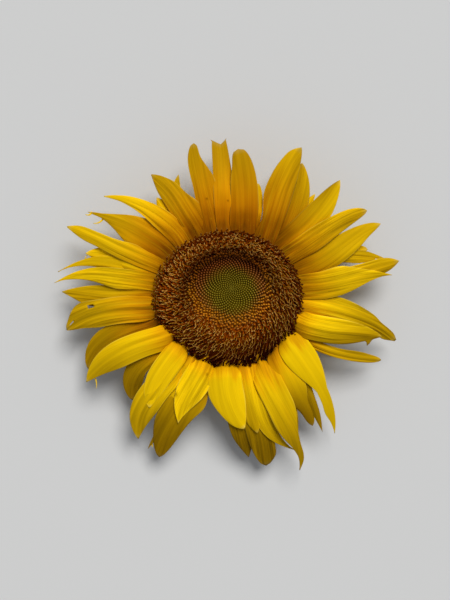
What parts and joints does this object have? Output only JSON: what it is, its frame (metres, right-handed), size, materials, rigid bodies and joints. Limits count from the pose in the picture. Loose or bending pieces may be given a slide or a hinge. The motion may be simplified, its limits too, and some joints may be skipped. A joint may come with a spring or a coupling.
{
  "type": "sunflower head",
  "caption": "Single sunflower bloom cut off at the neck, with layered yellow ray florets, a brown ring of open disc florets round green buds, and green bracts behind.",
  "frame": {"origin": "middle of the flat cut across the neck, on which the head lies face up", "axes": "+Z out of the flower's face, the head's shortest side; +Y towards the edge of the bloom that is uppermost in the picture"},
  "size_m": [0.2257, 0.2282, 0.0431],
  "materials": {
    "green_bracts": "matte",
    "yellow_petals": "satin",
    "brown_florets": "matte",
    "green_brown_buds": "matte"
  },
  "bodies": {
    "root": {"receptacle_with_bracts": "green_bracts", "ray_florets": "yellow_petals", "disc_florets": "brown_florets", "disc_buds": "green_brown_buds"}
  },
  "joints": []
}
